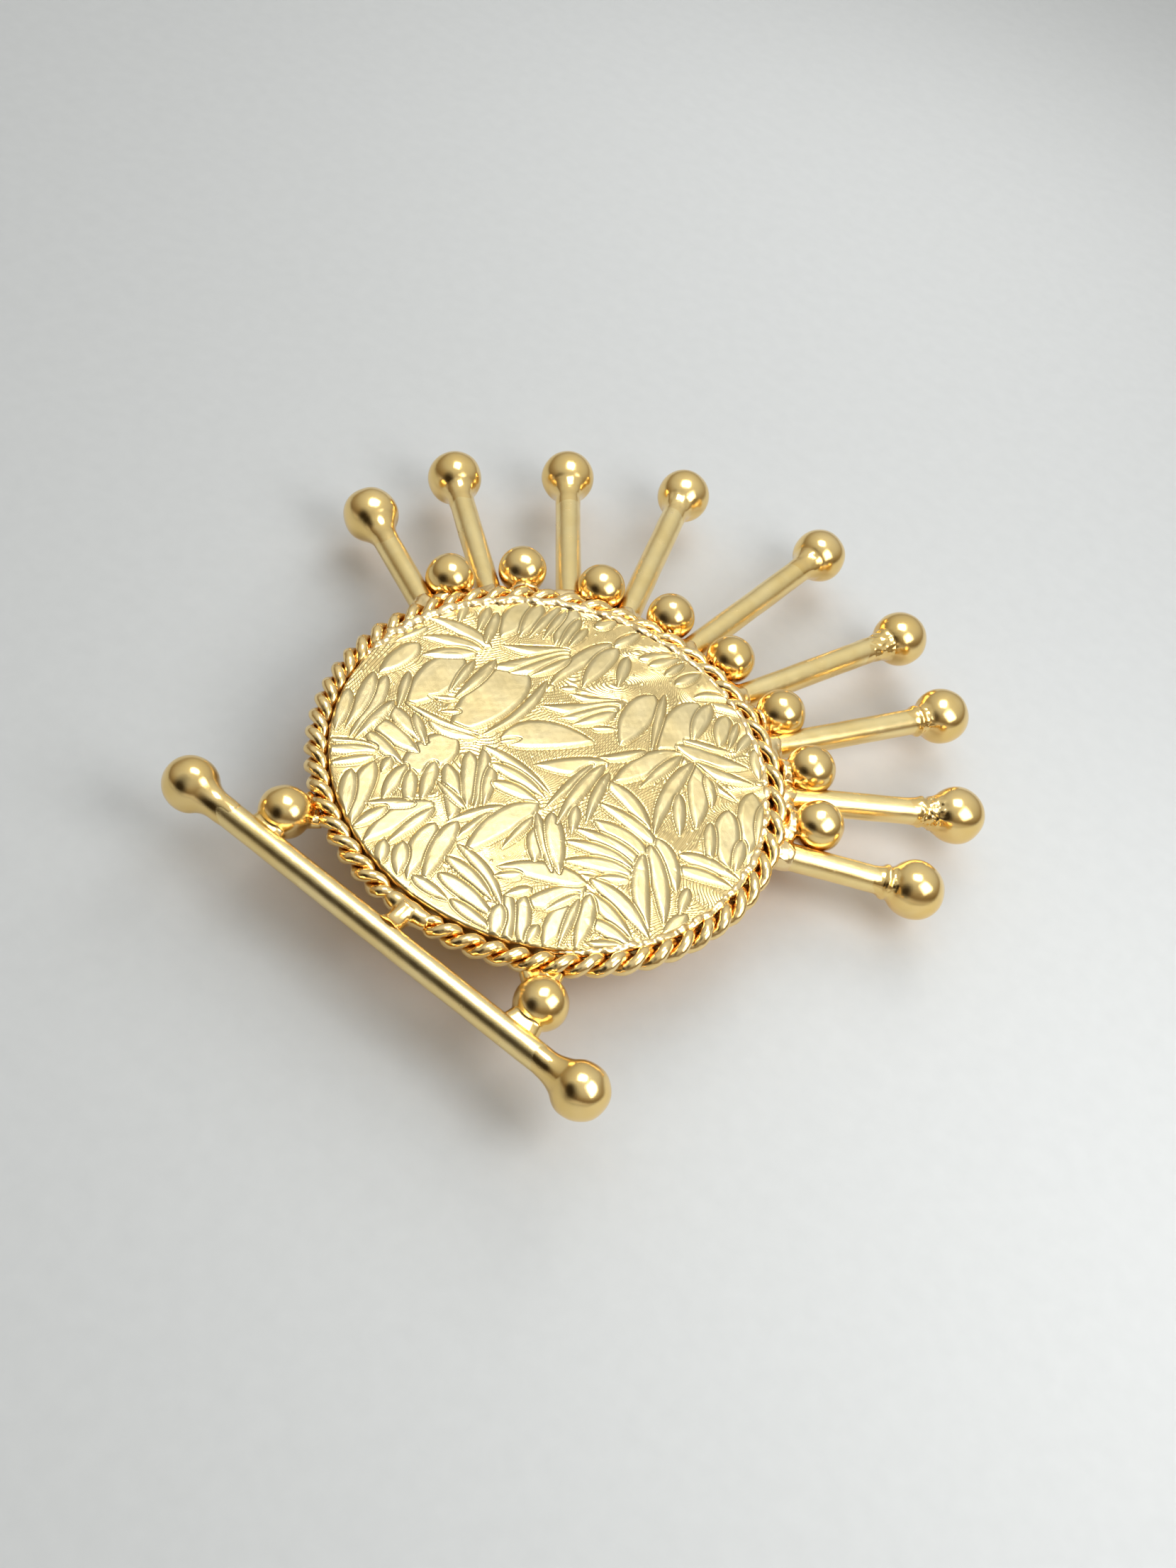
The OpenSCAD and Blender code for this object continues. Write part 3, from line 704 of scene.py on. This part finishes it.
def bead_centre(number):
    """Centre of a rim bead in disc coordinates, from the frame."""
    low, high = box_mm(f"rim_bead_{number}")
    middle = (low + high) / 2
    return np.array([
        high[0] - BEAD_R if middle[0] > DISC[0] else low[0] + BEAD_R,
        high[1] - BEAD_R,
        high[2] - BEAD_R,
    ]) - DISC


def make_beads():
    """The polished beads between the rays."""
    for number in range(1, BEAD_COUNT + 1):
        points, quads = ball(BEAD_R)
        points = uneven(points, quads, 0.022, 2.2, 120 + number)
        new_piece(f"bead_{number}", points + bead_centre(number) + DISC, quads, "polished",
                  [f"rim_bead_{number}"])


def make_rim_solder():
    """The seam of solder between the rope and the beads, which climbs a little way up each bead and wire."""
    angle = np.linspace(20, 163, 260)
    flat = around(angle, 19.2, -1.05)
    seam = sweep(flat + np.array([0, 0, 0.1]), 0.62 + 0.16 * ripple(flat, 1.7, 131), 20)
    shapes = [seam]
    for number in range(1, BEAD_COUNT + 1):
        centre = bead_centre(number)
        foot = centre * (18.9 / np.linalg.norm(centre[:2]))
        foot[2] = -0.75
        start = centre + np.array([0, 0, -0.9])
        shapes.append(sweep(np.linspace(start, foot, 8), np.linspace(1.15, 1.25, 8), 24))
    for number in range(1, len(RAY_ROOT_ANGLES) + 1):
        root, tip = ray_line(number)
        along = (tip - root) / np.linalg.norm(tip - root)
        shapes.append(sweep(np.linspace(root + 0.2 * along, root + 1.9 * along, 8),
                            np.array([1.32, 1.34, 1.30, 1.27, 1.24, 1.2, 1.14, 1.04]), 24))
    points, quads = fused(shapes, 0.11, 6)
    points = uneven(points, quads, 0.04, 1.2, 132)
    points = uneven(points, quads, 0.008, 0.5, 133)
    new_piece("bead_solder", points + DISC, quads, "rough", ["rim_solder"])


def make_bar():
    """The bar with a ball on a short neck at each end."""
    length = BAR_HIGH[0] - BAR_LOW[0]
    rows = [(z, BAR_R) for z in np.linspace(0, length, 140)]
    points, quads = lathe(rows, 48)
    left = np.array([BAR_LOW[0] - DISC[0], BAR_Y, 0])
    right = np.array([BAR_HIGH[0] - DISC[0], BAR_Y, 0])
    points = aimed(points, left, right)
    points = uneven(points, quads, 0.012, 5.0, 141)
    points = uneven(points, quads, 0.002, 0.8, 142)
    new_piece("bar_wire", points + DISC, quads, "satin", ["bar_rod"])
    for name, seed in (("left", 143), ("right", 144)):
        low, high = box_mm(f"bar_ball_{name}")
        x = low[0] + BAR_BALL_R if name == "left" else high[0] - BAR_BALL_R
        centre = np.array([x - DISC[0], BAR_Y, 0])
        inward = np.array([-np.sign(centre[0]), 0, 0])
        profile = necked_profile(BAR_BALL_R, 0.7 * BAR_BALL_R + 1.7, 1.55, BAR_R + 0.03)
        points, quads = lathe(profile, 72)
        points = aimed(points, centre, centre + inward)
        points = uneven(points, quads, 0.03, 2.0, seed)
        new_piece(f"bar_knob_{name}", points + DISC, quads, "polished", [f"bar_ball_{name}"])


def make_bar_beads():
    """The two beads between the bar and the rope, in low webs of solder that flare onto both."""
    for name, seed in (("left", 151), ("right", 152)):
        low, high = box_mm(f"bar_bead_{name}")
        x = low[0] + BAR_BEAD_R if name == "left" else high[0] - BAR_BEAD_R
        centre = np.array([x - DISC[0], BAR_BEAD_Y[name], 0.0])
        outward = centre / np.linalg.norm(centre)
        aside = np.array([-outward[1], outward[0], 0])
        rope_side = outward * (ROPE_RING_R + 0.45) - np.array([0, 0, 0.35])
        bar_side = np.array([centre[0], BAR_Y + 0.5, -0.1])
        points, quads = ball(BAR_BEAD_R + 0.06)
        shapes = [(points + centre, quads)]
        start = centre - [0, 0, 0.5]
        for spread in (-1.2, -0.4, 0.4, 1.2):
            foot = rope_side + spread * aside
            shapes.append(sweep(np.linspace(start, foot, 10), np.linspace(0.95, 0.50, 10), 24))
            foot = bar_side + [0.7 * spread, 0, -0.1]
            shapes.append(sweep(np.linspace(start, foot, 10), np.linspace(1.05, 0.80, 10), 24))
        points, quads = fused(shapes, 0.09, 14)
        points = uneven(points, quads, 0.02, 2.0, seed)
        new_piece(f"bar_pearl_{name}", points + DISC, quads, "polished",
                  [f"bar_bead_{name}"])


def make_solder_pad(name, node):
    """The low mound of solder that holds a part of the finding to the back plate."""
    low, high = box_mm(node)
    middle = (low + high) / 2
    half_x = (high[0] - low[0]) / 2 + 0.55
    half_y = (high[1] - low[1]) / 2 + 0.55
    turn = np.arange(72) * 2 * math.pi / 72
    round_x = np.sign(np.cos(turn)) * np.abs(np.cos(turn)) ** 0.6
    round_y = np.sign(np.sin(turn)) * np.abs(np.sin(turn)) ** 0.6
    rings = []
    for out in np.linspace(0.02, 1, 22):
        drop = 0.34 * (1 - out ** 5)
        z = np.full(72, BACK_LOW[2] + 0.05 - drop)
        x = middle[0] + half_x * out * round_x
        y = middle[1] + half_y * out * round_y
        rings.append(np.stack([x, y, z], axis=-1))
    points = np.concatenate(rings)
    quads = grid_quads(len(rings), 72)
    points = uneven(points, quads, 0.03, 1.3, 161)
    points = uneven(points, quads, 0.012, 0.5, 162)
    new_piece(name, points, quads, "rough")


def finish_cad_nodes():
    """Gives the CAD nodes that stay in view their finish and slightly worn edges."""
    for node in ("hinge_bracket", "hinge_rivet", "pin_stem", "catch_housing", "locking_barrel"):
        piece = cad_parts[node]
        edge = piece.modifiers.new("worn_edge", "BEVEL")
        edge.width = 0.07 * MM
        edge.segments = 2
        edge.limit_method = "ANGLE"
        edge.angle_limit = math.radians(40)
        for place in piece.material_slots:
            place.material = FINISHES["finding"]


# ---------------------------------------------------------------- stage

def make_floor():
    """A plain pale sheet of paper under the brooch."""
    half = 1.5
    z = FLOOR_Z * MM
    mesh = bpy.data.meshes.new("floor")
    corners = [(-half, -half, z), (half, -half, z), (half, half, z), (-half, half, z)]
    mesh.from_pydata(corners, [], [(0, 1, 2, 3)])
    mesh.materials.append(paper())
    floor = bpy.data.objects.new("floor", mesh)
    bpy.context.scene.collection.objects.link(floor)


def make_lamp(name, place, size, brightness, on_paper=True, on_gold=True):
    """A soft square lamp at a place in row millimetres, facing the brooch.
    It may leave the paper or the gold unlit."""
    data = bpy.data.lights.new(name, "AREA")
    data.shape = "SQUARE"
    data.size = size * MM
    data.energy = brightness * math.pi * (size * MM) ** 2
    lamp = bpy.data.objects.new(name, data)
    lamp.location = Vector(place) * MM
    lamp.rotation_euler = Vector(place).to_track_quat("Z", "Y").to_euler()
    lamp.visible_camera = False
    lamp.visible_diffuse = on_paper
    lamp.visible_glossy = on_gold
    bpy.context.scene.collection.objects.link(lamp)


def make_dark_card():
    """A soft-edged dark card in front, which gives the polished gold its dark reflections."""
    place = Vector((-22, -110, 66))
    across, tall = 100, 92
    turn = place.to_track_quat("Z", "Y")
    angle = np.linspace(0, 2 * math.pi, 49)[:-1]
    outline = [Vector((across * math.cos(a), tall * math.sin(a), 0)) for a in angle]
    mesh = bpy.data.meshes.new("dark_card")
    mesh.from_pydata([(turn @ corner + place) * MM for corner in outline], [], [tuple(range(len(outline)))])
    material = bpy.data.materials.new("dark_card")
    material.use_nodes = True
    tree = material.node_tree
    shader = tree.nodes["Principled BSDF"]
    shader.inputs["Base Color"].default_value = (0.03, 0.02, 0.01, 1)
    shader.inputs["Specular IOR Level"].default_value = 0.0
    geometry = tree.nodes.new("ShaderNodeNewGeometry")
    away = tree.nodes.new("ShaderNodeVectorMath")
    away.operation = "DISTANCE"
    away.inputs[1].default_value = place * MM
    link(tree, geometry, "Position", away, 0)
    fade = span(tree, away, "Value", 1.0, 0.0, 0.030, 0.088)
    link(tree, fade, "Result", shader, "Alpha")
    mesh.materials.append(material)
    card = bpy.data.objects.new("dark_card", mesh)
    card.visible_camera = False
    card.visible_diffuse = False
    card.visible_shadow = False
    bpy.context.scene.collection.objects.link(card)


def make_world():
    """The room round the brooch: pale overhead and behind, dim near the horizon, pale again below."""
    world = bpy.data.worlds.new("studio")
    bpy.context.scene.world = world
    world.use_nodes = True
    tree = world.node_tree
    direction = tree.nodes.new("ShaderNodeTexCoord")
    towards = tree.nodes.new("ShaderNodeVectorMath")
    towards.operation = "DOT_PRODUCT"
    towards.inputs[1].default_value = (-0.10, 0.35, 0.93)
    link(tree, direction, "Generated", towards, 0)
    level = span(tree, towards, "Value", 0.0, 1.0, -1.0, 1.0)
    sky = ramp(tree, [
        (0.42, (0.60, 0.59, 0.57)), (0.5, (0.17, 0.12, 0.07)), (0.65, (0.34, 0.29, 0.22)),
        (0.8, (0.58, 0.59, 0.59)), (0.97, (0.75, 0.77, 0.77)),
    ])
    link(tree, level, "Result", sky, "Fac")
    link(tree, sky, "Color", tree.nodes["Background"], "Color")


def make_camera():
    """The camera at the photograph's angle, above the lower right of the brooch."""
    data = bpy.data.cameras.new("camera")
    data.sensor_fit = "VERTICAL"
    data.sensor_height = 36
    data.lens = 40.83
    data.clip_start = 0.005
    data.clip_end = 10
    camera = bpy.data.objects.new("camera", data)
    right = Vector((0.78198, 0.58706, 0.20945))
    up = Vector((-0.57277, 0.54424, 0.61298))
    back = Vector((0.24586, -0.59930, 0.76183))
    place = Matrix((right, up, back)).transposed().to_4x4()
    place.translation = Vector((0.03670, -0.08417, 0.10886))
    camera.matrix_world = place
    bpy.context.scene.collection.objects.link(camera)
    bpy.context.scene.camera = camera


make_camera()
make_floor()
make_world()
make_lamp("overhead", (-28, 46, 240), 90, 22.0, on_paper=False)
make_lamp("fill", (-90, 110, 260), 260, 0.30, on_gold=False)
make_lamp("top_fill", (-30, 122, 105), 80, 2.9, on_gold=False)
make_lamp("side", (80, 0, 87), 70, 4.6)
make_dark_card()
make_face()
make_back()
make_rope()
make_rope_joint()
make_inner_solder()
for ray in range(1, len(RAY_ROOT_ANGLES) + 1):
    make_ray(ray)
make_beads()
make_rim_solder()
make_bar()
make_bar_beads()
make_solder_pad("hinge_solder", "hinge_bracket")
make_solder_pad("catch_solder", "catch_housing")
finish_cad_nodes()

view_settings = bpy.context.scene.view_settings
view_settings.view_transform = "Standard"
view_settings.exposure = 0.0
